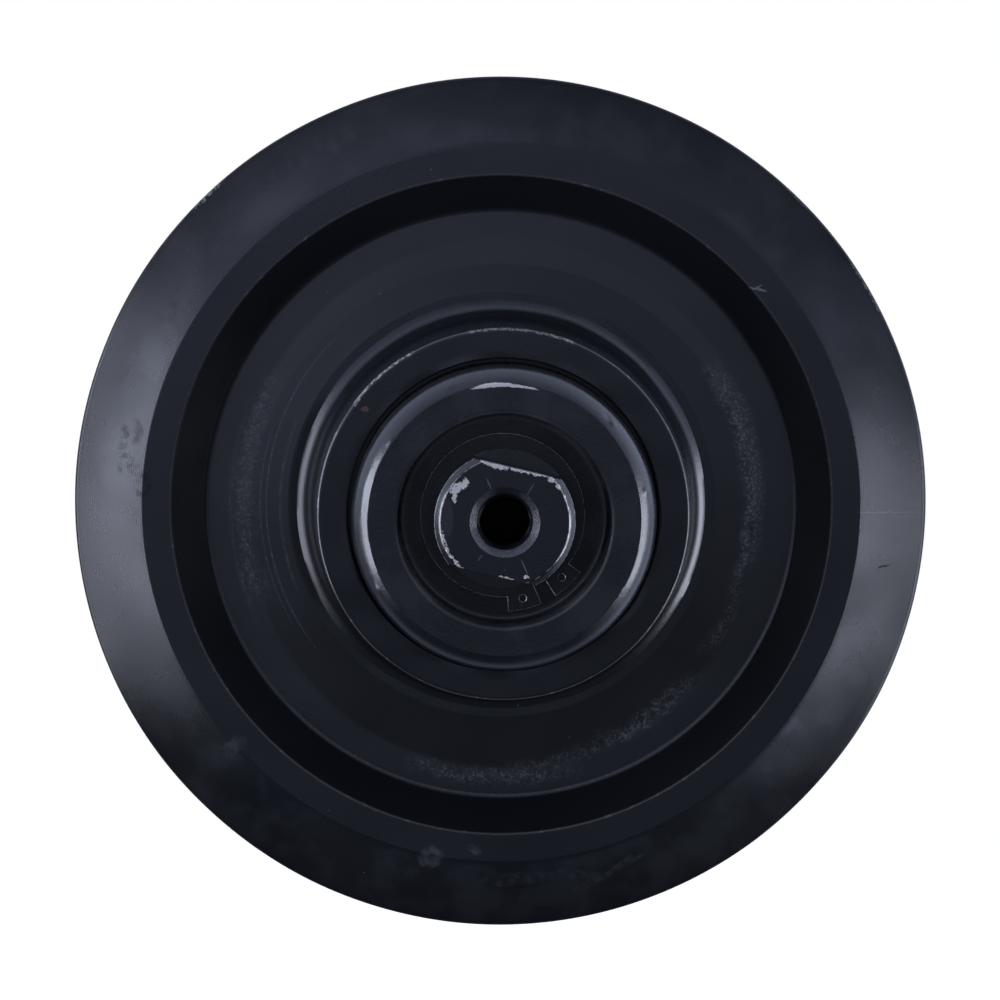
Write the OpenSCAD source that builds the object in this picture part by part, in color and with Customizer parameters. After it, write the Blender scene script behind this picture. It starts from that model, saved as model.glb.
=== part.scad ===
// Track idler wheel: a cast wheel that turns on a fixed axle, on two bushings,
// sealed at each end by a face seal under a collar and held by a circlip.
// The axle lies along Y, the origin is the wheel's centre and the front is at -Y.

/* [Rim and web] */
// Diameter over the tread
tread_d = 380; // [350:1:420]
// Width of the tread
tread_w = 34; // [26:1:44]
// Rounding of the tread's two edges
tread_edge_r = 2; // [0.5:0.5:4]
// Width over the rim's two flat side faces
rim_w = 60; // [54:1:72]
// Radial height of the tapered flank between the tread and a side face
flank_h = 30.8; // [26:0.1:36]
// Radial height of a flat side face
side_face_h = 12.6; // [8:0.1:16]
// Radial height of the sloped wall inside the rim
rim_wall_h = 15.2; // [10:0.1:18]
// Depth of the web's outer edge below the side face
dish_depth = 11; // [5:0.5:16]
// How far the web rises from the rim to the hub
web_rise = 3.5; // [2:0.5:7]
// Radial width of the web's flatter outer band
web_band_w = 14; // [8:0.5:20]
// How far that band rises
web_band_rise = 0.5; // [0.1:0.1:1.5]
// Rounding between that band and the rest of the web
web_bend_r = 20; // [10:1:24]
// Fillet between the web and the sloped wall
web_fillet_r = 4; // [1:0.5:8]

/* [Hub] */
// Width over the hub's two faces
hub_w = 158; // [146:1:180]
// Wall of the hub outside the mouth that takes the collar
hub_wall = 13.3; // [8:0.1:18]
// Draft of the hub's outer wall, in degrees
hub_draft = 3; // [1:0.5:8]
// Fillet at the hub's foot
hub_fillet_r = 13.5; // [8:0.5:16]
// How far the web's flat ring covers the end of that fillet
foot_cover = 1.25; // [0.5:0.05:2]
// Reach of the web's flat ring from the hub's foot
hub_ring_w = 11.3; // [9:0.1:16]
// Rounding of the hub's outer edge
hub_edge_r = 1.5; // [0.5:0.1:3]
// Depth of the hub's mouth
mouth_depth = 20; // [16:0.5:24]
// Radial gap between the hub's mouth and the collar
mouth_gap = 2; // [1:0.1:3]

/* [Axle] */
// Diameter of the axle
axle_d = 60; // [54:0.5:66]
// How far the axle stands out of the collar
axle_stub = 10.5; // [5:0.5:16]
// Chamfer at the axle's ends
axle_chamfer = 2.5; // [1:0.1:3.5]
// Width across the two flats at each end
flats_w = 46.5; // [40:0.5:50]
// Length of the flats
flats_len = 22; // [10:0.5:24]
// Turn of the flats about the axle, in degrees
flats_turn = 13.5; // [0:0.5:90]
// Bore of the tapped hole in each end
tap_d = 21; // [17:0.5:24]
// Depth of the tapped hole
tap_depth = 40; // [30:1:50]
// Diameter of the tapped hole's countersink
tap_mouth_d = 30; // [27:0.5:34]

/* [Oil gallery] */
// Diameter of the oil gallery through the axle's middle
gallery_d = 6; // [4:0.5:8]
// Diameter of the plug that closes the gallery
plug_d = 12; // [10:0.5:15]
// Length of the plug
plug_len = 10; // [8:0.5:14]
// Width across the flats of the plug's hexagon socket
plug_key = 6; // [4:0.5:7]
// Depth of the plug's hexagon socket
plug_key_depth = 5; // [3:0.5:6]
// Gap round the plug
plug_gap = 0.02; // [0.01:0.01:0.05]

/* [Bushings] */
// Wall of a bushing
bush_wall = 4; // [3:0.5:6]
// Radial height of a bushing's flange
bush_flange_h = 8; // [5:0.5:9]
// Thickness of a bushing's flange
bush_flange_t = 4; // [3:0.5:6]
// Room for oil between the two bushings
oil_space = 16; // [10:1:30]
// Depth of the oil room round the bushings' bore
oil_room_h = 4; // [2:0.5:6]
// Radial running gap between bushing and axle
running_gap = 0.05; // [0.02:0.01:0.09]
// Gap of the press fit between bushing and hub
press_gap = 0.01; // [0.01:0.01:0.03]
// End play between a bushing's flange and the collar
end_play = 0.25; // [0.15:0.05:0.5]

/* [Face seals] */
// Radial room for a seal, from the collar's nose to the seal bore
seal_room = 13; // [12:0.5:15]
// Depth of the seal bore in the hub and in the collar
seal_depth = 11; // [10:0.5:13]
// Axial gap between the seal bores of hub and collar
seal_split = 4; // [3:0.5:6]
// Gap between the two sealing faces
seal_film = 0.1; // [0.05:0.05:0.2]
// Radial gap between a seal ring and the collar's nose
seal_nose_gap = 1; // [0.6:0.1:2]
// Length of a seal ring
seal_ring_len = 9.5; // [9:0.5:10.5]
// Thickness of a seal ring's lip
seal_lip_t = 3; // [2:0.5:3.5]
// Width of the polished band on a sealing face
seal_band = 7; // [4:0.5:8]
// Depth of the relief inside the polished band
seal_relief = 1; // [0.5:0.5:1.5]
// Slope of the seat under a toric, in degrees
toric_slope = 20; // [12:1:24]
// Section diameter of a toric
toric_d = 7; // [6:0.5:7.5]
// Gap round a toric and round an O-ring
rubber_gap = 0.2; // [0.1:0.05:0.3]

/* [Collars] */
// Wall of the nose that runs in to the bushing
nose_wall = 5; // [4:0.5:7]
// Wall of the skirt outside the seal bore
skirt_wall = 17.5; // [13:0.1:21]
// Thickness of the floor between the seal bore and the outer recess
collar_floor = 17; // [12:0.5:20]
// Depth of the outer recess that takes the circlip
recess_depth = 17.5; // [15:0.5:22]
// Radial width of the outer recess, from the axle to its wall
recess_room = 15.3; // [12:0.1:17]
// Rounding of the collar's outer edge
bead_r = 12.3; // [6:0.1:16]
// How far the collar's face is turned down from the crest of that rounding
face_cut = 1.15; // [0.3:0.05:2]
// Radial gap between the collar and the axle
collar_gap = 0.03; // [0.01:0.01:0.08]
// Section diameter of the O-ring between collar and axle
o_ring_d = 3; // [2:0.1:3.5]
// Length of the groove for that O-ring
o_groove_len = 4.6; // [4:0.1:5.5]

/* [Circlips] */
// Thickness of a circlip
clip_t = 3; // [2:0.5:4]
// Radial width of a circlip opposite its gap
clip_w = 8; // [5:0.5:9.5]
// How much narrower a circlip is at its gap than opposite
clip_taper = 2.4; // [1:0.2:4]
// Depth of the circlip's groove in the axle
clip_groove = 1.5; // [1:0.1:2]
// Reach of a circlip's ears from the groove's floor
ear_reach = 12; // [10:0.5:13]
// Angle from the middle of the gap to an ear's near side, in degrees
ear_start = 4.8; // [3:0.2:8]
// Angle from the middle of the gap to an ear's far side, in degrees
ear_end = 26; // [20:0.5:34]
// Diameter of the hole in each ear
ear_hole_d = 3; // [2:0.5:3.5]
// Distance of the ear's hole from the groove's floor
ear_hole_at = 7.2; // [6.5:0.1:8]
// Direction of the gap about the axle, in degrees from +X towards +Z
clip_turn = -61.5; // [-180:0.5:180]
// Gap round a circlip in its groove
clip_gap = 0.1; // [0.05:0.05:0.2]

/* [Hidden] */
$fn = 96;
paint = [0.13, 0.14, 0.17];
bare_steel = [0.62, 0.63, 0.65];
bronze = [0.72, 0.52, 0.28];
seal_iron = [0.5, 0.5, 0.52];
rubber = [0.06, 0.06, 0.06];
edge_break = 0.8;
past = 1;

// Radii from the axle outwards
axle_r = axle_d / 2;
bush_r = axle_r + running_gap + bush_wall;
bush_seat_r = bush_r + press_gap;
bush_flange_r = bush_r + bush_flange_h;
oil_room_r = bush_seat_r + oil_room_h;
nose_r = axle_r + collar_gap + nose_wall;
seal_in_r = nose_r + seal_nose_gap;
seal_bore_r = nose_r + seal_room;
collar_r = seal_bore_r + skirt_wall;
mouth_r = collar_r + mouth_gap;
hub_face_r = mouth_r + hub_wall;
recess_r = axle_r + recess_room;
clip_floor_r = axle_r - clip_groove;

// Radii from the tread inwards
tread_r = tread_d / 2;
side_face_r = tread_r - flank_h;
rim_edge_r = side_face_r - side_face_h;
web_edge_r = rim_edge_r - rim_wall_h;
web_band_r = web_edge_r - web_band_w;

// Places along the axle, from the middle outwards
tread_y = tread_w / 2;
rim_y = rim_w / 2;
web_edge_y = rim_y - dish_depth;
web_y = web_edge_y + web_rise;
foot_y = web_y - foot_cover;
hub_y = hub_w / 2;
mouth_y = hub_y - mouth_depth;
seal_floor_y = mouth_y - seal_depth;
flange_seat_y = seal_floor_y - bush_flange_t;
oil_y = oil_space / 2;
seal_y = mouth_y + seal_split / 2;
nose_y = seal_floor_y + end_play;
skirt_y = mouth_y + seal_split;
collar_seal_y = skirt_y + seal_depth;
recess_y = collar_seal_y + collar_floor;
bead_y = recess_y + recess_depth;
crest_y = bead_y + face_cut;
axle_y = bead_y + axle_stub;
clip_y = recess_y + clip_gap;
o_groove_y = collar_seal_y + (collar_floor - o_groove_len) / 2;

hub_base_r = hub_face_r + (hub_y - foot_y) * tan(hub_draft);
gallery_end = axle_y - tap_depth - plug_len;

// Outlines are lists of corners [radius, place along the axle, rounding], counter-clockwise.
// The rounding may be left out, and is then none.
function unit(v) = v / norm(v);
function place(corners, i) =
    let (corner = corners[(i + len(corners)) % len(corners)]) [corner[0], corner[1]];
function rounding(corner) = len(corner) > 2 ? corner[2] : 0;
function back(corners, i) = unit(place(corners, i - 1) - place(corners, i));
function ahead(corners, i) = unit(place(corners, i + 1) - place(corners, i));
function half_angle(corners, i) = acos(back(corners, i) * ahead(corners, i)) / 2;
function bulges(corners, i) = cross(ahead(corners, i), back(corners, i)) > 0;
function setback(corners, i) = rounding(corners[i]) / tan(half_angle(corners, i));
function arc_centre(corners, i) =
    place(corners, i)
    + unit(back(corners, i) + ahead(corners, i)) * rounding(corners[i]) / sin(half_angle(corners, i));

// The points of one corner: the corner itself, or the two ends of its arc
function corner_points(corners, i) =
    rounding(corners[i]) == 0
    ? [place(corners, i)]
    : [
        place(corners, i) + back(corners, i) * setback(corners, i),
        place(corners, i) + ahead(corners, i) * setback(corners, i)
    ];

// The same outline on both sides of the wheel's middle
function both_sides(corners) = concat(
    [for (i = [len(corners) - 1 : -1 : 0]) [corners[i][0], -corners[i][1], rounding(corners[i])]],
    corners
);

// A section with true arcs: outer corners gain their arc, inner corners are hollowed by theirs
module section(corners) {
    rounded = [for (i = [0 : len(corners) - 1]) if (rounding(corners[i]) > 0) i];
    difference() {
        union() {
            polygon([for (i = [0 : len(corners) - 1]) each corner_points(corners, i)]);
            for (i = rounded)
                if (bulges(corners, i))
                    translate(arc_centre(corners, i)) circle(rounding(corners[i]));
        }
        for (i = rounded)
            if (!bulges(corners, i))
                translate(arc_centre(corners, i)) circle(rounding(corners[i]));
    }
}

// Turns a drawing's upright axis to +Y
module along_y() {
    rotate([-90, 0, 0]) children();
}

// A section turned about the axle
module turned() {
    along_y() rotate_extrude() children();
}

// Rear pieces are drawn as they are, front pieces are their mirror image
module at_end(end) {
    if (end == "front")
        mirror([0, 1, 0]) children();
    else
        children();
}

// Cylinder along +Y that starts at a place on the axle
module bar(from, to, r, r_end) {
    translate([0, from, 0]) along_y() cylinder(h = to - from, r1 = r, r2 = r_end);
}

// Rim and web are one outline and the hub is another, so that the web covers the end of the hub's fillet
module wheel_body() {
    rim = [
        [tread_r, tread_y, tread_edge_r],
        [side_face_r, rim_y, edge_break],
        [rim_edge_r, rim_y, edge_break],
        [web_edge_r, web_edge_y, web_fillet_r],
        [web_band_r, web_edge_y + web_band_rise, web_bend_r],
        [hub_base_r + hub_ring_w, web_y],
        [mouth_r, web_y]
    ];
    hub = [
        [hub_base_r + hub_fillet_r + past, foot_y],
        [hub_base_r, foot_y, hub_fillet_r],
        [hub_face_r, hub_y, hub_edge_r],
        [mouth_r, hub_y, edge_break],
        [mouth_r, mouth_y],
        [seal_bore_r, mouth_y],
        [seal_bore_r, seal_floor_y],
        [bush_flange_r + edge_break, seal_floor_y],
        [bush_flange_r + edge_break, flange_seat_y],
        [bush_seat_r, flange_seat_y],
        [bush_seat_r, oil_y],
        [oil_room_r, oil_y]
    ];
    color(paint) turned() {
        section(both_sides(rim));
        section(both_sides(hub));
    }
}

// The two flats, cut square to a direction across the axle
module flats_cut() {
    for (side = [0, 180])
        rotate([0, side - (90 - flats_turn), 0])
            translate([flats_w / 2, axle_y - flats_len, -axle_d])
                cube([axle_d, flats_len + past, 2 * axle_d]);
}

// Tapped hole with its countersink, open at the axle's end
module tapped_hole() {
    mouth_h = (tap_mouth_d - tap_d) / 2;
    bar(axle_y - tap_depth, axle_y + past, tap_d / 2, tap_d / 2);
    bar(axle_y - mouth_h, axle_y + past, tap_d / 2, tap_mouth_d / 2 + past);
}

module clip_groove_cut() {
    turned()
        translate([clip_floor_r, clip_y - clip_gap])
            square([clip_groove + past, clip_t + 2 * clip_gap]);
}

module axle() {
    half = [
        [axle_r, axle_y - axle_chamfer],
        [axle_r - axle_chamfer, axle_y],
        [0, axle_y]
    ];
    color(paint) difference() {
        turned() section(both_sides(half));
        for (end = ["front", "rear"])
            at_end(end) {
                flats_cut();
                tapped_hole();
                clip_groove_cut();
            }
        bar(gallery_end, axle_y - tap_depth + past, plug_d / 2, plug_d / 2);
        bar(0, gallery_end + past, gallery_d / 2, gallery_d / 2);
        translate([0, 0, -axle_d]) cylinder(h = 2 * axle_d, d = gallery_d);
    }
}

module oil_plug() {
    plug_r = plug_d / 2 - plug_gap;
    plug_top = gallery_end + plug_len;
    color(bare_steel) difference() {
        bar(gallery_end + plug_gap, plug_top, plug_r, plug_r);
        translate([0, plug_top - plug_key_depth, 0])
            along_y() cylinder(h = plug_key_depth + past, d = plug_key / cos(30), $fn = 6);
    }
}

module bushing(end) {
    bore_r = axle_r + running_gap;
    color(bronze) at_end(end) turned() section([
        [bore_r, oil_y],
        [bush_r, oil_y],
        [bush_r, flange_seat_y],
        [bush_flange_r, flange_seat_y],
        [bush_flange_r, seal_floor_y],
        [bore_r, seal_floor_y]
    ]);
}

// Middle of a toric's section, measured from the sealing faces
toric_r = seal_bore_r - rubber_gap - toric_d / 2;
toric_at = seal_lip_t + rubber_gap + toric_d / 2;

// Radius of a seal ring's seat under the toric, at a distance from the sealing faces
function seat_r(at) =
    toric_r - (toric_d / 2 + rubber_gap) / cos(toric_slope) - (at - toric_at) * tan(toric_slope);

// Places a piece drawn from the sealing faces outwards on the hub's or the collar's side
module at_seal(end, side) {
    at_end(end)
        translate([0, seal_y, 0])
            mirror([0, side == "hub" ? 1 : 0, 0]) children();
}

module seal_ring(end, side) {
    face = seal_film / 2;
    lip_r = seal_bore_r - edge_break;
    color(seal_iron) at_seal(end, side) turned() section([
        [seal_in_r, face + seal_relief],
        [lip_r - seal_band, face + seal_relief],
        [lip_r - seal_band, face],
        [lip_r, face],
        [lip_r, seal_lip_t],
        [seat_r(seal_lip_t), seal_lip_t],
        [seat_r(seal_ring_len), seal_ring_len],
        [seal_in_r, seal_ring_len]
    ]);
}

module toric(end, side) {
    color(rubber) at_seal(end, side) turned() translate([toric_r, toric_at]) circle(d = toric_d);
}

module collar(end) {
    bore_r = axle_r + collar_gap;
    o_floor_r = axle_r + o_ring_d + 2 * rubber_gap;
    color(paint) at_end(end) turned() difference() {
        section([
            [bore_r, nose_y],
            [nose_r, nose_y],
            [nose_r, collar_seal_y],
            [seal_bore_r, collar_seal_y],
            [seal_bore_r, skirt_y],
            [collar_r, skirt_y],
            [collar_r, crest_y, bead_r],
            [recess_r, crest_y],
            [recess_r, recess_y],
            [bore_r, recess_y],
            [bore_r, o_groove_y + o_groove_len],
            [o_floor_r, o_groove_y + o_groove_len],
            [o_floor_r, o_groove_y],
            [bore_r, o_groove_y]
        ]);
        translate([0, bead_y]) square([collar_r + past, face_cut + past]);
    }
}

module o_ring(end) {
    color(rubber) at_end(end) turned()
        translate([axle_r + rubber_gap + o_ring_d / 2, o_groove_y + o_groove_len / 2])
            circle(d = o_ring_d);
}

// Wedge from the axle's middle between two angles, longer than the ears reach
module wedge(from, to, reach) {
    polygon([
        [0, 0],
        2 * reach * [cos(from), sin(from)],
        2 * reach * [cos(to), sin(to)]
    ]);
}

// Open ring that narrows towards its gap, with an ear at each side of the gap at +X
module circlip_outline() {
    bore_r = clip_floor_r + clip_gap;
    ring_r = bore_r + clip_w - clip_taper / 2;
    ear_r = clip_floor_r + ear_reach;
    hole_r = clip_floor_r + ear_hole_at;
    hole_turn = (ear_start + ear_end) / 2;
    difference() {
        union() {
            translate([-clip_taper / 2, 0]) circle(ring_r);
            intersection() {
                circle(ear_r);
                wedge(-ear_end, ear_end, ear_r);
            }
        }
        circle(bore_r);
        wedge(-ear_start, ear_start, ear_r);
        for (side = [-1, 1])
            rotate(side * hole_turn) translate([hole_r, 0]) circle(d = ear_hole_d);
    }
}

module circlip(end) {
    color(paint) at_end(end)
        translate([0, clip_y, 0])
            rotate([0, -clip_turn, 0])
                along_y() linear_extrude(clip_t) circlip_outline();
}

wheel_body();
axle();
bushing("front");  // front_bushing
bushing("rear");  // rear_bushing
seal_ring("front", "hub");  // front_hub_seal_ring
seal_ring("rear", "hub");  // rear_hub_seal_ring
seal_ring("front", "collar");  // front_collar_seal_ring
seal_ring("rear", "collar");  // rear_collar_seal_ring
toric("front", "hub");  // front_hub_toric
toric("rear", "hub");  // rear_hub_toric
toric("front", "collar");  // front_collar_toric
toric("rear", "collar");  // rear_collar_toric
collar("front");  // front_collar
collar("rear");  // rear_collar
o_ring("front");  // front_o_ring
o_ring("rear");  // rear_o_ring
circlip("front");  // front_circlip
circlip("rear");  // rear_circlip
oil_plug();
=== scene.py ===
"""Track idler wheel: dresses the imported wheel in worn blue-black paint and sets up its studio.

The axle lies along Y with the wheel's middle at the origin, the front is at -Y, and lengths are in metres.
"""
import math
from collections import namedtuple

import bmesh
import bpy
import numpy as np
from bpy.props import FloatProperty, FloatVectorProperty, PointerProperty
from bpy.types import Operator, Panel, PropertyGroup
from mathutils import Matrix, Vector


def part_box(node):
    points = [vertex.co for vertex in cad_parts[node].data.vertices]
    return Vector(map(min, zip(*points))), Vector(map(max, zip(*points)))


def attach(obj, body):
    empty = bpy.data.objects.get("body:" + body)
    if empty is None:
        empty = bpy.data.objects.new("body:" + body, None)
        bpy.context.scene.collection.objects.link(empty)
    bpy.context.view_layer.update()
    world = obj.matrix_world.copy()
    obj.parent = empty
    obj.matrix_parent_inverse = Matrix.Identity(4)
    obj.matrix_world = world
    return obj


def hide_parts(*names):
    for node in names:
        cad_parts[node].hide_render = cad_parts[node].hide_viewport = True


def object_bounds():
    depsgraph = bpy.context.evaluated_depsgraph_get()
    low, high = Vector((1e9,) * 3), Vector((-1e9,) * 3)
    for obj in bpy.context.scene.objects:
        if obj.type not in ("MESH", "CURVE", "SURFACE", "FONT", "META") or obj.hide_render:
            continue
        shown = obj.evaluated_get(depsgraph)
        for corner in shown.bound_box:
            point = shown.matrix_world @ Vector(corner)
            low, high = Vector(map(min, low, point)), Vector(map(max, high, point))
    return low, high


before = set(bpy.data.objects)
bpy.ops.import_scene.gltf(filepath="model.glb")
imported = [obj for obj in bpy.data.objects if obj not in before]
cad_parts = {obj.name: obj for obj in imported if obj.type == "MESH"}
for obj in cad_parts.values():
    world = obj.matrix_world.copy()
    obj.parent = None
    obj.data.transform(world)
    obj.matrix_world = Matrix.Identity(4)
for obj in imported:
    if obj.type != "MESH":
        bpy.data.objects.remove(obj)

bl_info = {
    "name": "Track idler wheel",
    "version": (1, 0, 0),
    "blender": (4, 5, 0),
    "location": "View3D > Sidebar > Idler",
    "description": "Builds the painted wheel, axle, collars and circlips of a track idler",
    "category": "Object",
}

CAD_BOX = [list(corner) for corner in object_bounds()]
MM = 0.001
ENDS = {"front": -1, "rear": 1}
SHARP_EDGE = math.radians(28)
WHITE = (1, 1, 1, 1)
ROOM_TINT = (0.83, 0.95, 1.29, 1)


def reach(node, axis, step=0.5 * MM):
    """How far a CAD node reaches along an axis (0 is X, 1 is Y), to the nearest step."""
    return round(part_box(node)[1][axis] / step) * step


def length(name, description, metres):
    """A length that a user can change."""
    return FloatProperty(name=name, description=description, default=metres, unit="LENGTH", precision=5)


def angle(name, description, degrees):
    """An angle that a user can change, given in degrees."""
    return FloatProperty(name=name, description=description, default=math.radians(degrees), subtype="ANGLE")


def share(name, description, value):
    """A number between none and all."""
    return FloatProperty(name=name, description=description, default=value, min=0, max=1, subtype="FACTOR")


def colour(name, description, rgb):
    """A colour that a user can change, in linear light."""
    return FloatVectorProperty(
        name=name, description=description, default=rgb, size=3, min=0, max=1, subtype="COLOR"
    )


class IdlerWheelSizes(PropertyGroup):
    """Section of the wheel casting."""

    tread_r: length("Tread radius", "Radius over the tread", reach("wheel_body", 0))
    tread_y: length("Tread half width", "From the wheel's middle to the tread's edge", 17 * MM)
    tread_edge: length("Tread edge", "Rounding of the tread's edges", 2 * MM)
    rim_y: length("Rim half width", "From the wheel's middle to a side face", 30 * MM)
    flank_h: length("Flank height", "Radial height of the tapered flank", 30.8 * MM)
    side_face_h: length("Side face height", "Radial height of the flat side face", 12.6 * MM)
    rim_wall_h: length("Rim wall height", "Radial height of the sloped wall inside the rim", 15.2 * MM)
    dish_depth: length("Dish depth", "Depth of the web's outer edge below the side face", 11 * MM)
    web_rise: length("Web rise", "How far the web rises from the rim to the hub", 3.5 * MM)
    web_band_w: length("Web band", "Radial width of the web's flatter outer band", 14 * MM)
    web_band_rise: length("Web band rise", "How far that band rises", 0.5 * MM)
    web_bend: length("Web bend", "Rounding between that band and the rest of the web", 20 * MM)
    web_fillet: length("Web fillet", "Fillet between the web and the sloped wall", 4 * MM)
    hub_y: length("Hub half width", "From the wheel's middle to a hub face", reach("wheel_body", 1))
    hub_wall: length("Hub wall", "Wall of the hub outside its mouth", 13.3 * MM)
    hub_draft: angle("Hub draft", "Draft of the hub's outer wall", 3)
    hub_fillet: length("Hub fillet", "Fillet at the hub's foot", 13.5 * MM)
    foot_cover: length("Foot cover", "How far the web's flat ring covers the end of that fillet", 1.25 * MM)
    hub_ring: length("Hub ring", "Reach of the web's flat ring from the hub's foot", 11.3 * MM)
    hub_edge: length("Hub edge", "Rounding of the hub's outer edge", 1.5 * MM)
    mouth_gap: length("Mouth gap", "Gap between the hub's mouth and the collar", 2 * MM)
    mouth_y: length("Mouth floor", "From the wheel's middle to the floor of the hub's mouth", 59 * MM)
    edge_break: length("Edge break", "Rounding of the other edges", 0.8 * MM)
    ripple: length("Ripple", "Height of the slow waves left in the casting", 0.07 * MM)


class IdlerCollarSizes(PropertyGroup):
    """Section of a seal collar."""

    collar_r: length("Collar radius", "Outer radius of a collar", reach("rear_collar", 0))
    face_y: length("Face", "From the wheel's middle to the collar's flat face", reach("rear_collar", 1))
    bead_r: length("Bead rounding", "Rounding of the collar's outer edge", 12.3 * MM)
    face_cut: length("Face cut", "How far the face is turned down from the rounding's crest", 1.15 * MM)
    recess_r: length("Recess radius", "Radius of the recess round the axle", 45.3 * MM)
    recess_y: length("Recess floor", "From the wheel's middle to the recess's floor", 91 * MM)


class IdlerAxleSizes(PropertyGroup):
    """Section of the axle and its tapped holes."""

    axle_r: length("Axle radius", "Radius of the axle", reach("axle", 0))
    axle_y: length("Axle half length", "From the wheel's middle to the axle's end", reach("axle", 1))
    chamfer: length("Chamfer", "Chamfer at the axle's ends", 2.5 * MM)
    flats_half: length("Flats half width", "From the axis to a flat", 23.25 * MM)
    flats_len: length("Flats length", "Length of the flats", 22 * MM)
    flats_turn: angle("Flats turn", "Turn of the flats about the axle", 13.5)
    tap_r: length("Tapping radius", "Radius of the tapped hole inside its thread", 10.5 * MM)
    tap_depth: length("Tapped depth", "Depth of the tapped hole", 40 * MM)
    mouth_r: length("Countersink radius", "Radius of the tapped hole's countersink", 15 * MM)
    pitch: length("Pitch", "Pitch of the thread", 3 * MM)
    thread_h: length("Thread height", "Depth of the thread's grooves", 1.5 * MM)
    groove_y: length("Groove", "From the wheel's middle to the circlip's groove", 91 * MM)
    groove_w: length("Groove width", "Width of the circlip's groove", 3.2 * MM)
    groove_h: length("Groove depth", "Depth of the circlip's groove", 1.5 * MM)


class IdlerFinish(PropertyGroup):
    """Colours and gloss of the paint and of what shows where it has worn."""

    paint: colour("Paint", "Blue-black paint", (0.0021, 0.0025, 0.0038))
    # The dust colour is also that of the painted light on the flank and of the painted highlight line at the
    # web's edge
    dust: colour("Dust", "Dry dust and rubbed paint", (0.20, 0.205, 0.22))
    # The bare steel colour is also that of the painted highlights on the collar's crest and along the axle
    # end's edges
    steel: colour("Bare steel", "Steel where the paint has chipped off", (0.52, 0.50, 0.47))
    rust: colour("Rust", "Rust at a bare spot", (0.16, 0.075, 0.055))
    # Also the colour of the painted shade inside the rim, on the web, over the hub fillet's highlight, in the
    # tapped holes and in the collars' recesses
    grime_and_shade: colour("Grime", "Old grease and dirt that has no gloss", (0.004, 0.004, 0.005))
    bronze: colour("Bronze", "Turned bronze of the bushings", (0.52, 0.30, 0.11))
    iron: colour("Seal iron", "Ground iron of the seal rings", (0.36, 0.36, 0.37))
    rubber: colour("Rubber", "Rubber of the torics and O-rings", (0.012, 0.012, 0.013))
    wheel_gloss: share("Wheel roughness", "Roughness of the wheel's paint", 0.25)
    collar_gloss: share("Collar roughness", "Roughness of the collars' paint", 0.26)


class IdlerStudio(PropertyGroup):
    """Camera, lamps and floor."""

    distance: length("Camera distance", "From the tread's front edge plane to the camera", 2.0)
    azimuth: angle("Camera azimuth", "Turn of the camera about the upright", -0.93)
    elevation: angle("Camera elevation", "Height of the camera above the axle", 4.4)
    lens: FloatProperty(name="Lens", description="Focal length in millimetres", default=161.3)
    shift_x: FloatProperty(name="Shift X", description="Sideways shift of the picture", default=-0.00105)
    shift_y: FloatProperty(name="Shift Y", description="Upward shift of the picture", default=0.0039)
    lamp_distance: length("Lamp distance", "From the axle to the side lamps", 1.6)
    left_azimuth: angle("Left lamp azimuth", "Angle of the left lamp off the axle", 66)
    right_azimuth: angle("Right lamp azimuth", "Angle of the right lamp off the axle", 69)
    lamp_w: length("Lamp width", "Width of the side lamps", 0.64)
    floor_drop: length("Floor drop", "From the wheel's lowest point down to the floor", 0.9)


# Numpy surfaces

def unit(vectors):
    """Each vector divided by its length."""
    return vectors / np.linalg.norm(vectors, axis=-1, keepdims=True)


def split_run(start, end, step, hold):
    """Points inside a straight run, evenly spaced no further than step, with one close to each end."""
    run = np.linalg.norm(end - start)
    inner = np.linspace(0, 1, math.ceil(run / step) + 1)[1:-1]
    if run > 4 * hold:
        inner = np.union1d(inner[(inner * run > 2 * hold) & ((1 - inner) * run > 2 * hold)],
                           [hold / run, 1 - hold / run])
    return start + (end - start) * inner[:, None]


def outline(corners, step, hold=0.5 * MM, arc_step=math.radians(9)):
    """A closed outline through corners [radius, place, rounding].

    A rounded corner is the arc of its rounding that touches both sides, its centre on the line that
    halves the corner, and the straight runs between the arcs are split.
    """
    corners = np.array([(*corner, 0)[:3] for corner in corners])
    places, roundings = corners[:, :2], corners[:, 2:]
    back = unit(np.roll(places, 1, axis=0) - places)
    ahead = unit(np.roll(places, -1, axis=0) - places)
    half = np.arccos(np.sum(back * ahead, axis=1, keepdims=True)) / 2
    starts = places + back * roundings / np.tan(half)
    ends = places + ahead * roundings / np.tan(half)
    centres = places + unit(back + ahead) * roundings / np.sin(half)
    runs = []
    for start, end, centre, rounding, following in zip(
        starts, ends, centres, roundings[:, 0], np.roll(starts, -1, axis=0)
    ):
        if rounding > 0:
            first = math.atan2(*(start - centre)[::-1])
            sweep = math.remainder(math.atan2(*(end - centre)[::-1]) - first, math.tau)
            turn = first + sweep * np.linspace(0, 1, math.ceil(abs(sweep) / arc_step) + 1)
            runs.append(centre + rounding * np.stack([np.cos(turn), np.sin(turn)], axis=-1))
        else:
            runs.append(start[None])
        runs.append(split_run(end, following, step, hold))
    return np.concatenate(runs)


def both_sides(corners):
    """The corners of one side, and before them the same corners mirrored to the other side."""
    mirrored = [(radius, -at, *rest) for radius, at, *rest in reversed(corners)]
    return mirrored + list(corners)


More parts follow.
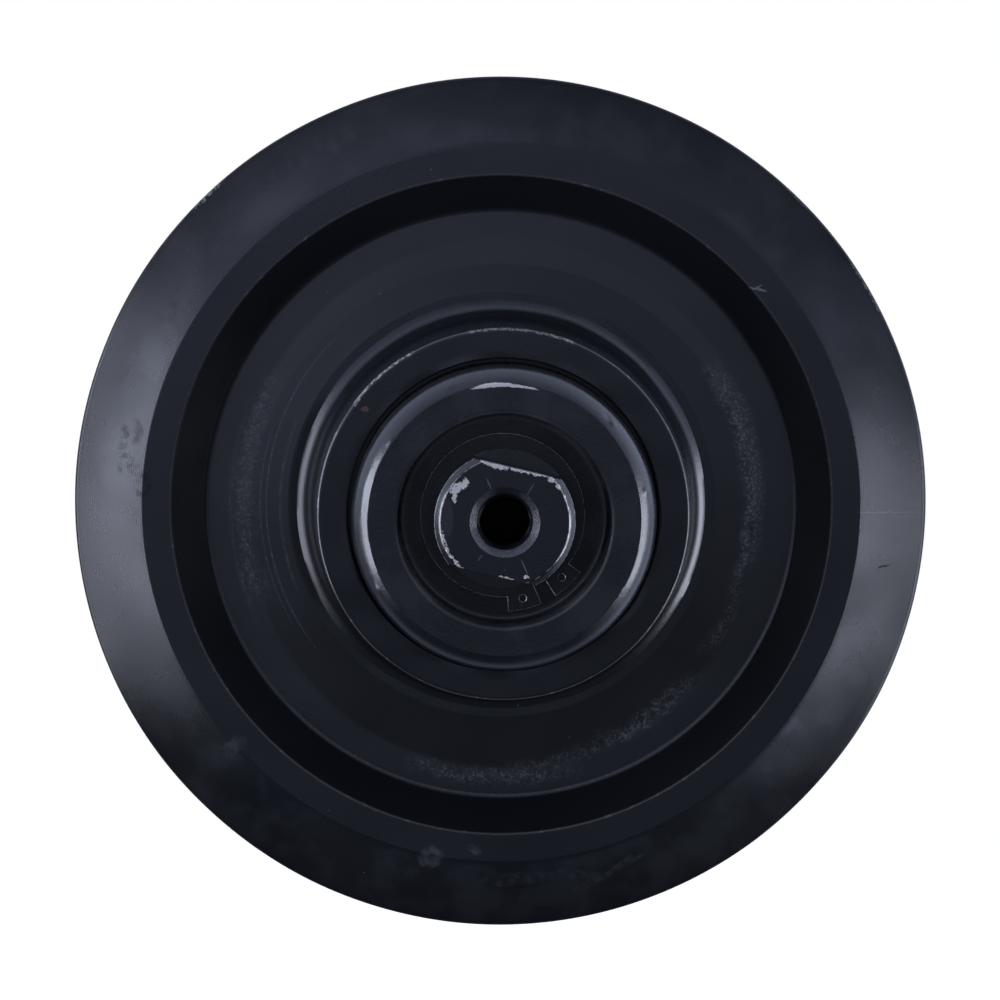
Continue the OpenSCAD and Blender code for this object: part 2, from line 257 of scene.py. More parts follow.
def cut_corner(radius, at, rounding, cut, draft, way):
    """Two corners for a rounded corner whose arc a flat face cuts short.

    The flat lies a cut away from the arc's end, and crosses the arc where the cosine of its slope is
    1 - cut / rounding. There a line along the arc begins, and it meets the drafted wall in the second corner.
    """
    slope = math.acos(1 - cut / rounding)
    middle = radius + way * rounding * math.tan(math.pi / 4 - draft / 2)
    crease = (middle - way * rounding * math.sin(slope), at + way * cut)
    run = rounding * math.tan((math.pi / 2 - draft - slope) / 2)
    corner = (crease[0] - way * run * math.cos(slope), crease[1] + way * run * math.sin(slope), rounding)
    return [crease, corner]


def even_turns(columns):
    """Evenly spaced angles round the axle."""
    return np.arange(columns) * math.tau / columns


def turned(radius, at, turn):
    """Turns radii and places about the axle: x = radius cos(turn), y = place, z = radius sin(turn)."""
    radius, at, turn = np.broadcast_arrays(radius, at, turn[:, None])
    return np.stack([radius * np.cos(turn), at, radius * np.sin(turn)], axis=-1)


def turned_skin(section, lift, turn, side=1):
    """Turns a closed section about the axle, its points lifted along their outward normals.

    A normal is the tangent turned a quarter back. A side of -1 mirrors the section to the front.
    """
    tangent = unit(np.roll(section, -1, axis=0) - np.roll(section, 1, axis=0))
    radius = section[:, 0] + lift * tangent[:, 1]
    at = section[:, 1] - lift * tangent[:, 0]
    return turned(radius, side * at, turn)[:, ::side]


def waves(turn, along, height, seed, count=9, crests=(2, 17), drift=160):
    """Slow waves round the wheel, each with its own crests, phase and drift along the section.

    Their sum is divided by the root of their count.
    """
    rng = np.random.default_rng(seed)
    crests = rng.integers(*crests, count)[:, None, None]
    phase = rng.uniform(0, math.tau, count)[:, None, None]
    drift = rng.uniform(-drift, drift, count)[:, None, None]
    waved = np.cos(crests * turn[None, :, None] + phase + drift * along)
    return height * waved.mean(axis=0) * math.sqrt(count)


def bumps(turn, section, marks):
    """Soft round bumps, each a bell curve over the distance round the axle and along the section."""
    total = np.zeros((len(turn), len(section)))
    for mark in marks:
        away = np.remainder(turn - math.radians(mark.angle) + math.pi, math.tau) - math.pi
        round_way = away[:, None] * mark.radius / mark.long
        cross_way = (section[:, 0] / MM - mark.radius) / mark.wide
        total += mark.height * MM * np.exp(-round_way ** 2 - cross_way ** 2)
    return total


def grid_quads(columns, rows, closed_rows):
    """Corner numbers of the quads of a grid whose columns close on themselves, and perhaps its rows."""
    column = np.arange(columns)[:, None]
    row = np.arange(rows if closed_rows else rows - 1)[None]
    after_column, after_row = (column + 1) % columns, (row + 1) % rows
    corners = (column * rows + row, column * rows + after_row,
               after_column * rows + after_row, after_column * rows + row)
    return np.stack([np.broadcast_to(c, (columns, row.size)) for c in corners], axis=-1).reshape(-1, 4)


def pole_triangles(columns, rows, row, pole, flip):
    """Triangles from one end of a grid's rows to a single point on the axis."""
    column = np.arange(columns)
    ring = column * rows + row
    after = (column + 1) % columns * rows + row
    first, second = (after, ring) if flip else (ring, after)
    return np.stack([first, second, np.full(columns, pole)], axis=-1)


def new_object(name, data):
    """A new object, linked to the scene."""
    made = bpy.data.objects.new(name, data)
    bpy.context.scene.collection.objects.link(made)
    return made


def smooth(mesh):
    """Shades a mesh smooth but for its sharp edges."""
    mesh.shade_smooth()
    mesh.set_sharp_from_angle(angle=SHARP_EDGE)


def solid(name, points, poles=()):
    """A closed smooth mesh object from a grid of points.

    Without poles the rows close on themselves; with two, each end of the rows runs to its pole.
    """
    columns, rows = points.shape[:2]
    corners = np.concatenate([points.reshape(-1, 3), np.reshape(poles, (-1, 3))])
    faces = grid_quads(columns, rows, not len(poles)).tolist()
    if len(poles):
        pole = columns * rows
        faces += pole_triangles(columns, rows, 0, pole, False).tolist()
        faces += pole_triangles(columns, rows, rows - 1, pole + 1, True).tolist()
    mesh = bpy.data.meshes.new(name)
    mesh.from_pydata(corners.tolist(), [], faces)
    smooth(mesh)
    return new_object(name, mesh)


def place_piece(piece, body, slot, node, *materials):
    """Gives a piece its materials and its body, and hides the CAD node that it stands for; the slot is not
    used.
    """
    piece.data.materials.clear()
    for material in materials:
        piece.data.materials.append(material)
    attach(piece, body)
    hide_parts(node)


# Shader maths

class Tone:
    """One socket of a node tree; arithmetic on it adds Math nodes, and node() adds any other node."""

    def __init__(self, tree, socket=None):
        self.tree = tree
        self.socket = socket

    def node(self, kind, settings, sockets, output=0):
        """Adds a node: its settings, then each socket's value or link; returns the named output."""
        made = self.tree.nodes.new(kind)
        for name, value in settings.items():
            setattr(made, name, value)
        for name, value in sockets.items():
            if isinstance(value, Tone):
                self.tree.links.new(value.socket, made.inputs[name])
            else:
                made.inputs[name].default_value = value
        return None if output is None else Tone(self.tree, made.outputs[output])

    def beside(self, output):
        """Another output of the same node."""
        return Tone(self.tree, self.socket.node.outputs[output])

    def math(self, operation, *values):
        """A Math node on these values."""
        return self.node("ShaderNodeMath", {"operation": operation}, dict(enumerate(values)))

    def __add__(self, other):
        return self.math("ADD", self, other)

    def __sub__(self, other):
        return self.math("SUBTRACT", self, other)

    def __rsub__(self, other):
        return self.math("SUBTRACT", other, self)

    def __mul__(self, other):
        return self.math("MULTIPLY", self, other)

    def __lt__(self, other):
        return self.math("LESS_THAN", self, other)

    def __gt__(self, other):
        return self.math("GREATER_THAN", self, other)

    def __abs__(self):
        return self.math("ABSOLUTE", self)

    __radd__ = __add__
    __rmul__ = __mul__


# A point of a surface: its coordinates, its distance from the axle and its way out from it
Place = namedtuple("Place", "point x y z r way")
# A stretch of a ring: middle and half length in degrees, radius and half width in mm
Arc = namedtuple("Arc", "angle half radius wide strength")
# An oval spot: place, half length and half width in mm, and its turn in degrees
Spot = namedtuple("Spot", "x z long wide turn strength")
# A bump in the paint: angle in degrees, the rest in mm
Bump = namedtuple("Bump", "angle radius long wide height")


def rise(value, low, high, top=1.0):
    """A smooth step from 0 at low to the top value at high."""
    return value.node("ShaderNodeMapRange", {"interpolation_type": "SMOOTHSTEP"},
                      {"Value": value, "From Min": low, "From Max": high, "To Max": top})


def band(value, low, low_run, high, high_run):
    """1 between low and high, fading to 0 at each of them over its run."""
    return rise(value, low, low + low_run) * rise(value, high, high - high_run)


def vector(operation, first, second, output=0):
    """A Vector Math node on two vectors."""
    return first.node("ShaderNodeVectorMath", {"operation": operation}, {0: first, 1: second}, output)


def object_point(tone):
    """The point in Object coordinates."""
    return tone.node("ShaderNodeTexCoord", {}, {}, "Object")


def noise(tone, scale, detail):
    """Noise on Object coordinates, with so many grains to the metre."""
    point = object_point(tone)
    return tone.node("ShaderNodeTexNoise", {}, {"Vector": point, "Scale": scale, "Detail": detail})


def place(tone, ragged=0.0, grain=1.0, detail=3.0):
    """Object coordinates, the distance from the axle and the way out from it, frayed by noise if ragged."""
    point = object_point(tone)
    if ragged:
        push = noise(tone, grain, detail).beside("Color")
        push = tone.node("ShaderNodeVectorMath", {"operation": "MULTIPLY_ADD"},
                         {0: push, 1: (ragged,) * 3, 2: (-ragged / 2,) * 3})
        point = vector("ADD", point, push)
    x = tone.node("ShaderNodeSeparateXYZ", {}, {0: point}, "X")
    flat = vector("MULTIPLY", point, (1, 0, 1))
    way = tone.node("ShaderNodeVectorMath", {"operation": "NORMALIZE"}, {0: flat})
    radius = tone.node("ShaderNodeVectorMath", {"operation": "LENGTH"}, {0: flat}, "Value")
    return Place(point, x, x.beside("Y"), x.beside("Z"), radius, way)


def most(masks):
    """The strongest of some masks."""
    strongest = masks[0]
    for mask in masks[1:]:
        strongest = mask.math("MAXIMUM", strongest, mask)
    return strongest


def arcs(here, marks, soft=3, core=0.4):
    """Stretches of rings: near the radius, and within the half length of the middle angle.

    They fade over soft degrees at their ends, and across outside their core, a share of the half width.
    """
    masks = []
    for mark in marks:
        middle = math.radians(mark.angle)
        toward = vector("DOT_PRODUCT", here.way, (math.cos(middle), 0, math.sin(middle)), "Value")
        starts, full = math.cos(math.radians(mark.half + soft)), math.cos(math.radians(mark.half))
        near = rise(abs(here.r - mark.radius * MM), mark.wide * MM, mark.wide * MM * core)
        masks.append(rise(toward, starts, full, mark.strength) * near)
    return most(masks)


def spots(here, marks, outer=1.4, inner=0.6, along_axle=1000):
    """Oval spots: the squared distance from each, in a space where it is round and its radius is 1.

    That space is so wide along the axle that the distance along it doesn't count.
    """
    masks = []
    for mark in marks:
        inside = here.point.node("ShaderNodeMapping", {"vector_type": "TEXTURE"}, {
            "Vector": here.point,
            "Location": (mark.x * MM, 0, mark.z * MM),
            "Rotation": (0, -math.radians(mark.turn), 0),
            "Scale": (mark.long * MM, along_axle, mark.wide * MM),
        })
        masks.append(rise(vector("DOT_PRODUCT", inside, inside, "Value"), outer, inner, mark.strength))
    return most(masks)


def distance(first, second):
    """The distance covered by two steps at a right angle."""
    return first.math("SQRT", first * first + second * second)


def edge(here, radius, at, width, core=0.4):
    """Nearness to a round edge at a radius and at a place on either side of the wheel."""
    return rise(distance(here.r - radius, abs(here.y) - at), width, width * core)


def specks(tone, scale, size, keep=0.94, core=0.5):
    """Sparse dots: near the middle of a random cell, in the few cells whose random value passes keep."""
    cell = {"Vector": object_point(tone), "Scale": scale}
    cell = tone.node("ShaderNodeTexVoronoi", {}, cell, "Distance")
    chosen = tone.node("ShaderNodeSeparateColor", {}, {0: cell.beside("Color")})
    return rise(cell, size, size * core) * (chosen > keep)


def patchy(tone, scale, detail, low, high):
    """Noise whose grains become patches: 0 below the low value and 1 above the high one."""
    return rise(noise(tone, scale, detail), low, high)


def rings(here, pitch):
    """Waves between -1 and 1 along the radius, such as a turning tool leaves."""
    return here.r.math("SINE", here.r * (math.tau / pitch))


def blend(factor, under, over):
    """One colour over another, as far as the factor says."""
    return factor.node("ShaderNodeMix", {"data_type": "RGBA"}, {0: factor, 6: under, 7: over}, 2)


def solid_colour(value):
    """A colour property with full opacity."""
    return (*value, 1.0)


def new_material(name):
    """An empty material, and a tone that starts its nodes."""
    material = bpy.data.materials.new(name)
    material.use_nodes = True
    material.node_tree.nodes.clear()
    return material, Tone(material.node_tree)


def surface(tone, sockets, height, relief, grime_and_shade=None):
    """Ends a material: a Principled shader over a bump in metres, and a dark matte layer as far as its mask
    says, which is dirt in some places and painted shade in others.
    """
    bump = {"Strength": 1.0, "Distance": relief, "Height": height}
    normal = tone.node("ShaderNodeBump", {}, bump, "Normal")
    shader = tone.node("ShaderNodeBsdfPrincipled", {}, {**sockets, "Normal": normal}, "BSDF")
    if grime_and_shade:
        dark_matte = solid_colour(bpy.context.scene.idler_finish.grime_and_shade)
        matte = {"Base Color": dark_matte, "Roughness": 1.0, "Specular IOR Level": 0.0}
        matte = tone.node("ShaderNodeBsdfPrincipled", {}, matte, "BSDF")
        shader = tone.node("ShaderNodeMixShader", {}, {0: grime_and_shade, 1: shader, 2: matte})
    tone.node("ShaderNodeOutputMaterial", {}, {"Surface": shader}, None)


# How much dust roughens the paint, and the roughness and metal share of bare steel
DUST_DULLS = 0.3
STEEL_ROUGHNESS = 0.42
STEEL_METALLIC = 0.75


def worn_paint(tone, roughness, film, bare, height, relief, grime_and_shade=None, rust=None):
    """Blue-black paint under a pale film of dust and in places painted light, chipped to bare steel and given
    bare-steel painted highlights, rusted, and darkened by matte dirt and painted shade in places.
    """
    finish = bpy.context.scene.idler_finish
    shade = blend(film, solid_colour(finish.paint), solid_colour(finish.dust))
    shade = blend(bare, shade, solid_colour(finish.steel))
    if rust:
        shade = blend(rust, shade, solid_colour(finish.rust))
    dull = roughness + film * DUST_DULLS
    dull = dull + bare * (STEEL_ROUGHNESS - dull)
    sockets = {"Base Color": shade, "Roughness": dull, "Metallic": bare * STEEL_METALLIC}
    surface(tone, sockets, height, relief, grime_and_shade)


# Marks on the front of the wheel, the collar and the axle, each in the place where it is seen
DUST_ARCS = [
    Arc(12, 16, 110, 4.5, 1.0), Arc(10, 18, 113.5, 6.0, 0.6), Arc(-4, 8, 111.5, 4.5, 1.0),
    Arc(-18, 12, 112, 4.5, 0.5),
    Arc(-65, 18, 117, 5.0, 0.3), Arc(-55, 6, 116, 6.5, 0.7), Arc(176, 20, 114.5, 8.0, 0.45),
    Arc(-92, 12, 122, 6.0, 0.4),
]
# Fine light rings on the web; the long one round the lower half at the web's edge is a painted highlight line
FINE_RINGS_AND_HIGHLIGHT = [
    Arc(176, 34, 104.6, 0.5, 0.9), Arc(185, 16, 107.3, 0.4, 0.8), Arc(180, 15, 98.4, 0.9, 0.5),
    Arc(180, 14, 112.6, 0.4, 0.6), Arc(182, 15, 120.5, 1.4, 0.35), Arc(-85, 82, 130.6, 0.6, 0.4),
]
HUB_RUBBED = [
    Arc(129, 9, 80.6, 0.8, 0.9), Arc(86, 14, 80.4, 0.9, 0.5), Arc(72, 3, 80.4, 0.9, 0.8),
    Arc(141.5, 1.0, 80.2, 1.2, 1.0),
]
RIM_RUBBED = [
    Arc(30.5, 3.0, 189.2, 0.9, 0.5), Arc(133.5, 1.0, 189.2, 1.2, 0.9), Arc(46, 1.0, 189.4, 0.8, 0.4),
]
FLANK_SMEARS = [
    Spot(-31.3, -157, 5, 4, 0, 1.0), Spot(-12, -154, 4, 1.6, -30, 0.9), Spot(15, -167, 30, 3, 6, 0.4),
    Spot(48, -164, 12, 1.8, 35, 0.6), Spot(56, -161, 9, 1.6, 30, 0.5), Spot(40, -168, 10, 1.7, 32, 0.5),
    Spot(-118.5, -106.7, 6, 3.5, 40, 0.7), Spot(-107, 138, 16, 6, 50, 0.4), Spot(-80, 158, 20, 5, 30, 0.4),
]
# Pale film on the flank: dust, and the large spot at the lower right is painted light that brightens the
# flank there
FLANK_HAZE_AND_LIGHT = [
    Spot(140, -88, 44, 17, 57, 1.0), Spot(-172, 22, 9, 17, 5, 1.0), Spot(-158, 62, 9, 15, -25, 0.7),
    Spot(-20, 162, 34, 10, -8, 0.35), Spot(-98, 138, 26, 9, 40, 0.35), Spot(150, 90, 26, 14, -60, 0.3),
]
SCRATCHES = [
    Spot(172.5, -3.4, 14, 0.3, -1.5, 0.35), Spot(180, -5.6, 5, 0.25, 2, 0.2),
    Spot(113.5, 96.0, 4.0, 0.5, -13, 0.6), Spot(113.8, 97.2, 1.8, 0.4, 20, 0.5),
]
RUST_SPOTS = [Spot(-59.8, 45.9, 1.7, 1.3, 0, 0.35)]
SMUDGES = [
    Spot(-165, 28, 5, 15, -8, 0.5), Spot(-171, 54, 4, 10, -15, 0.4), Spot(-160, 12, 4, 7, 0, 0.5),
    Spot(-150, 88, 6, 14, -30, 0.3),
]
# Painted shade: dark matte arcs that dim the hub fillet's highlight at the left, and a faint one on the web
# at the upper left
SHADE_ARCS = [Arc(180, 22, 90, 6.5, 0.5), Arc(150, 45, 106, 16, 0.14)]
DARK_TICKS = [Spot(170.7, -27.6, 3.6, 0.5, 12, 0.7), Spot(-44, 137, 1.6, 0.6, 30, 0.8)]
# The painted highlight on the collar's crest, a streak of bare steel: its spots have the distance from the
# axle in place of the height
BEAD_HIGHLIGHT = [Spot(-4.5, 57.9, 9.0, 0.9, 0, 1.0), Spot(4.5, 57.5, 9.0, 0.55, 0, 1.0)]
BEAD_BUMPS = [
    Bump(167, 61.4, 4.5, 1.2, 0.15), Bump(175, 61.0, 3.2, 0.9, 0.2), Bump(160, 60.8, 3.0, 0.8, 0.12),
    Bump(145, 59.4, 2.0, 1.0, 0.2), Bump(209, 62, 2.4, 1.0, 0.4), Bump(45, 62.4, 1.6, 0.8, -0.4),
    Bump(42, 62.0, 1.4, 0.8, 0.5), Bump(11.5, 61.6, 1.3, 1.0, 0.5), Bump(112, 61.6, 2.5, 1.0, 0.25),
]
AXLE_CHIPS = [
    Spot(-17.0, 16.6, 1.4, 2.4, -20, 1.0), Spot(-20.4, 14.6, 3.2, 1.9, 35, 1.0),
    Spot(-21.4, 10.4, 1.1, 2.2, 0, 1.0), Spot(-3.4, 24.1, 4.6, 1.2, -13.5, 1.0),
    Spot(9.7, 21.3, 10.0, 0.7, -13.5, 1.0), Spot(-8.5, 25.5, 2.0, 0.7, -13.5, 1.0),
    Spot(19.5, 18.0, 1.6, 1.0, 0, 1.0), Spot(22.5, 15.0, 0.7, 1.2, 30, 1.0),
    Spot(25.4, 10.2, 0.6, 1.4, 12, 1.0), Spot(0.4, -23.7, 3.0, 0.5, -13.5, 1.0),
    Spot(8.9, -23.4, 0.9, 0.7, 0, 1.0),
]
AXLE_RUBBED = [Arc(209, 18, 27.0, 0.8, 1.0)]
# Painted highlights: bare-steel lines along the axle end's edges at the right and left, where the edge
# highlights show
AXLE_EDGE_HIGHLIGHTS = [Arc(8, 44, 27.4, 0.5, 0.9), Arc(168, 28, 27.4, 0.5, 0.5), Arc(168, 34, 30, 0.5, 0.4)]
THREAD_WEAR = [Arc(180, 50, 13.4, 4.0, 1.0), Arc(0, 40, 13.4, 4.0, 0.8), Arc(270, 30, 13.4, 4.0, 0.9)]
DRIVER_MARKS = [
    Spot(-6.8, 16.4, 2.5, 0.25, -66.8, 0.8), Spot(10.9, 14.1, 3.0, 0.25, 57.8, 0.5),
    Spot(-10.6, -15.1, 1.8, 0.25, 54, 0.5), Spot(8.3, -19.1, 3.4, 0.25, -66.6, 0.8),
]
THIN_PAINT = [Spot(-24.6, 1.9, 2.6, 8.2, 0, 1.0)]
# Painted shade on the web's middle, a darker disc centred below the axle: how low its centre lies, and the
# radii where it starts and is full
WEB_SHADE_DROP, WEB_SHADE_R, WEB_SHADE_FULL_R = 5.5 * MM, 113.4 * MM, 112 * MM


def wheel_radii():
    """Named radii of the wheel's section, from its sizes."""
    sizes = bpy.context.scene.idler_wheel
    collar = bpy.context.scene.idler_collar
    radii = {"side_face": sizes.tread_r - sizes.flank_h, "mouth": collar.collar_r + sizes.mouth_gap}
    radii["rim_edge"] = radii["side_face"] - sizes.side_face_h
    radii["web_edge"] = radii["rim_edge"] - sizes.rim_wall_h
    radii["hub_face"] = radii["mouth"] + sizes.hub_wall
    return radii


WheelCoat = namedtuple("WheelCoat", "here frayed smeared streaky worn scuffed cloud dots roughness height")


def wheel_coat(tone, line_pitch=0.9 * MM):
    """What the wheel's two paints share: their places, patches, specks of dust, gloss and turned grain."""
    here = place(tone)
    grain = noise(tone, 1500, 3.0)
    patches = noise(tone, 260, 4.0)
    return WheelCoat(
        here=here,
        frayed=place(tone, ragged=1.6 * MM, grain=600),
        smeared=place(tone, ragged=9 * MM, grain=70),
        streaky=rise(patches, 0.36, 0.68),
        worn=rise(patches, 0.58, 0.68),
        scuffed=patchy(tone, 700, 4.0, 0.4, 0.6),
        cloud=patchy(tone, 20, 2.5, 0.28, 0.72),
        dots=specks(tone, 130, 0.06) * 0.25,
        roughness=bpy.context.scene.idler_finish.wheel_gloss + (grain - 0.5) * 0.06,
        height=grain + rings(here, line_pitch) * 0.06,
    )


def rim_paint(relief=0.035 * MM):
    """Semi-gloss paint with wiped clouds and smears on the flank, painted light at the flank's lower right,
    painted shade on the sloped wall inside the rim, matte darkening towards the tread, and rubbed edges.
    """
    sizes = bpy.context.scene.idler_wheel
    radii = wheel_radii()
    material, tone = new_material("wheel_paint")
    coat = wheel_coat(tone)
    here = coat.here
    front = here.y < 2.5 * MM - sizes.tread_y
    wiped = patchy(tone, 48, 4.0, 0.42, 0.64)
    flank = rise(here.r, radii["side_face"] + 0.3 * MM, radii["side_face"] + 3 * MM)
    film = most([
        spots(coat.smeared, FLANK_SMEARS) * (0.2 + 0.8 * coat.streaky) * front * 0.1,
        # Haze of dust on the flank, with painted light at its lower right
        spots(here, FLANK_HAZE_AND_LIGHT, outer=1.6, inner=0.0) * flank * (0.5 + 0.5 * wiped) * front * 0.13,
        spots(coat.frayed, SCRATCHES) * front * 0.5,
        coat.dots,
        flank * wiped * 0.025,
    ])
    bare = most([
        edge(here, sizes.tread_r, sizes.tread_y, 1.4 * MM) * coat.worn * 0.1,
        edge(here, radii["rim_edge"], sizes.rim_y, 0.8 * MM) * (0.05 + coat.worn * 0.1),
        arcs(coat.frayed, RIM_RUBBED, soft=2) * front * coat.scuffed,
    ]) * 0.55
    # Painted shade: the sloped wall inside the rim is darkened with dark matte
    rim_wall_shade = band(here.r, radii["web_edge"], 2 * MM, radii["rim_edge"], 1 * MM)
    # Matte darkening that grows across the flank towards the tread, and more near the tread's edge
    toward_tread = rise(here.r, radii["side_face"], sizes.tread_r) * 0.4
    toward_tread = toward_tread + rise(here.r, sizes.tread_r - 3 * MM, sizes.tread_r - 0.5 * MM) * 0.2
    grime_and_shade = most([
        rim_wall_shade * (0.3 + 0.2 * coat.cloud),
        spots(coat.smeared, SMUDGES) * coat.streaky * front,
        spots(coat.frayed, DARK_TICKS) * front,
        toward_tread * rise(abs(here.y), sizes.tread_y - 4 * MM, sizes.tread_y),
    ])
    roughness = coat.roughness + (coat.cloud - 0.4) * (0.04 + flank * 0.08)
    worn_paint(tone, roughness, film, bare, coat.height, relief, grime_and_shade)
    return material


def web_paint(relief=0.035 * MM):
    """The same paint with dust and turned lines on the web, a painted highlight line at its lower edge,
    painted shade on its middle and over the hub fillet's highlight at the left, a rubbed hub edge and a spot
    of rust.
    """
    sizes = bpy.context.scene.idler_wheel
    radii = wheel_radii()
    material, tone = new_material("web_paint")
    coat = wheel_coat(tone)
    here = coat.here
    front = here.y < 0.0
    hub_end = rise(here.y, 4 * MM - sizes.hub_y, 2 * MM - sizes.hub_y)
    speckle = patchy(tone, 800, 3.0, 0.5, 0.64)
    dusty = 0.05 + 0.25 * coat.streaky + 0.7 * speckle
    film = most([
        arcs(coat.smeared, DUST_ARCS, soft=9, core=0.0) * dusty * front * 0.34,
        # Fine rings, and a painted highlight line at the web's lower edge
        arcs(here, FINE_RINGS_AND_HIGHLIGHT, soft=12) * front * (0.3 + 0.7 * speckle) * 0.2,
        coat.dots,
    ])
    bare = most([
        edge(here, radii["hub_face"], sizes.hub_y, 1.1 * MM) * (0.1 + coat.worn * 0.3),
        arcs(coat.frayed, HUB_RUBBED, soft=2) * hub_end * coat.scuffed,
    ]) * 0.55
    web = band(here.r, radii["hub_face"] + 12 * MM, 4 * MM, radii["web_edge"], 3 * MM)
    # Painted shade: the web's middle, round a centre below the axle, is darkened with dark matte
    web_shade = rise(distance(here.x, here.z + WEB_SHADE_DROP), WEB_SHADE_R, WEB_SHADE_FULL_R)
    grime_and_shade = most([
        # Painted shade over the hub fillet's highlight
        arcs(here, SHADE_ARCS, soft=14) * front,
        web_shade * web * front * 0.22,
        rise(abs(here.y), sizes.hub_y - 1 * MM, sizes.hub_y - 0.3 * MM) * 0.15,
    ])
    rust = spots(coat.frayed, RUST_SPOTS) * front
    roughness = coat.roughness + (coat.cloud - 0.4) * 0.04 + web * 0.08
    worn_paint(tone, roughness, film, bare, coat.height, relief, grime_and_shade, rust)
    return material


def collar_paint(relief=0.05 * MM):
    """Glossier paint, with a painted highlight of bare steel on the crest, painted shade in the recess and
    small chips on the bead.
    """
    collar = bpy.context.scene.idler_collar
    material, tone = new_material("collar_paint")
    here = place(tone)
    frayed = place(tone, ragged=1.0 * MM, grain=500)
    front = here.y < 0.0
    grain = noise(tone, 700, 5.0)
    cloud = patchy(tone, 60, 4.0, 0.4, 0.7)
    crest = tone.node("ShaderNodeCombineXYZ", {}, {"X": frayed.x, "Z": frayed.r})
    # Painted highlight: a bare-steel streak on the top of the front bead
    streak = spots(frayed._replace(point=crest), BEAD_HIGHLIGHT) * front * (here.z > 0.0)
    worn = patchy(tone, 300, 4.0, 0.64, 0.7)
    chips = edge(here, collar.recess_r, collar.face_y, 0.6 * MM) * worn
    bare = most([streak, chips * 0.3])
    wall = band(here.r, collar.recess_r - 4 * MM, 3 * MM, collar.recess_r + 2.5 * MM, 2 * MM)
    film = most([specks(tone, 170, 0.07) * 0.3, cloud * 0.012, wall * (0.06 + 0.06 * cloud)])
    # Painted shade: the recess's floor round the axle is darkened with dark matte
    recess = rise(here.r, collar.recess_r - 1 * MM, collar.recess_r - 4 * MM)
    recess = recess * rise(abs(here.y), collar.recess_y + 9 * MM, collar.recess_y + 1 * MM)
    gloss = bpy.context.scene.idler_finish.collar_gloss
    roughness = gloss + (cloud - 0.5) * 0.06 + (grain - 0.5) * 0.08
    worn_paint(tone, roughness, film, bare, grain, relief, recess * (0.35 + 0.2 * cloud))
    return material


def axle_paint(relief=0.05 * MM, line_pitch=0.8 * MM):
    """Paint over steel, chipped to bright metal along the end's edges, with painted highlights of bare steel
    on those edges at the right and left, painted shade in the tapped holes, and a worn thread.
    """
    sizes = bpy.context.scene.idler_axle
    material, tone = new_material("axle_paint")
    here = place(tone)
    frayed = place(tone, ragged=2.8 * MM, grain=700)
    front = here.y < 0.0
    end = abs(here.y) > sizes.axle_y - 5 * MM
    grain = noise(tone, 1200, 3.0)
    scuffed = patchy(tone, 700, 4.0, 0.4, 0.66)
    broken = patchy(tone, 500, 4.0, 0.42, 0.56)
    ragged = patchy(tone, 900, 4.0, 0.36, 0.44)
    thread_r = sizes.tap_r + sizes.thread_h
    hole = band(here.r, thread_r - 0.6 * MM, 0.6 * MM, sizes.mouth_r + 0.2 * MM, 0.6 * MM) * end
    cut_lines = rings(here, line_pitch) * 0.5 + 0.5
    thread_wear = 0.25 + 0.75 * arcs(here, THREAD_WEAR, soft=30)
    chips = most([spots(frayed, AXLE_CHIPS) * ragged, arcs(frayed, AXLE_RUBBED, soft=4) * broken])
    chips = chips * front * end
    rims = most([
        edge(here, sizes.axle_r - sizes.chamfer, sizes.axle_y, 0.4 * MM),
        edge(here, sizes.axle_r, sizes.axle_y - sizes.chamfer, 0.4 * MM),
    ])
    # Painted highlights along the end's edges
    bright = arcs(here, AXLE_EDGE_HIGHLIGHTS, soft=4) * front * (0.4 + 0.6 * broken)
    bare = most([chips, rims * most([bright, broken * 0.2])])
    film = most([
        hole * thread_wear * (0.3 + 0.4 * scuffed + 0.3 * cut_lines) * 0.2,
        spots(here, DRIVER_MARKS) * front * end * 0.3,
        spots(here, THIN_PAINT) * front * end * 0.04,
        specks(tone, 190, 0.07) * 0.25,
    ])
    # Painted shade: the tapped holes are darkened with dark matte inside the thread
    hole_shade = rise(here.r, thread_r + 0.3 * MM, thread_r - 0.2 * MM) * 0.95
    worn_paint(tone, 0.2 + (grain - 0.5) * 0.1, film, bare, grain - chips, relief, hole_shade)
    return material


def clip_paint(name, rubbed, relief=0.03 * MM):
    """Thin grimy paint over spring steel, rubbed off as far as the given share."""
    material, tone = new_material(name)
    grain = noise(tone, 1300, 3.0)
    bare = patchy(tone, 450, 4.0, 0.3, 0.46) * rubbed
    film = specks(tone, 260, 0.1, keep=0.9) * 0.3
    worn_paint(tone, 0.28 + (grain - 0.5) * 0.1, film, bare, grain, relief, (1 - bare) * 0.4)
    return material


def ground_metal(name, tint, line_pitch, roughness, tarnished=0.62, relief=0.02 * MM):
    """Turned or ground metal: fine lines round the axle, and a little tarnish."""
    material, tone = new_material(name)
    tarnish = patchy(tone, 120, 4.0, 0.4, 0.75)
    lines = rings(place(tone), line_pitch) * 0.5 + noise(tone, 2000, 2.0)
    dark = tuple(value * tarnished for value in tint)
    shade = blend(tarnish, solid_colour(tint), solid_colour(dark))
    sockets = {"Base Color": shade, "Roughness": roughness + tarnish * 0.18, "Metallic": 1.0}
    surface(tone, sockets, lines, relief)
    return material


def seal_rubber(relief=0.02 * MM):
    """Smooth moulded rubber with a faint bloom."""
    finish = bpy.context.scene.idler_finish
    material, tone = new_material("seal_rubber")
    bloom = patchy(tone, 140, 4.0, 0.45, 0.8)
    shade = blend(bloom * 0.25, solid_colour(finish.rubber), solid_colour(finish.dust))
    surface(tone, {"Base Color": shade, "Roughness": 0.5 + bloom * 0.2}, noise(tone, 1800, 2.0), relief)
    return material


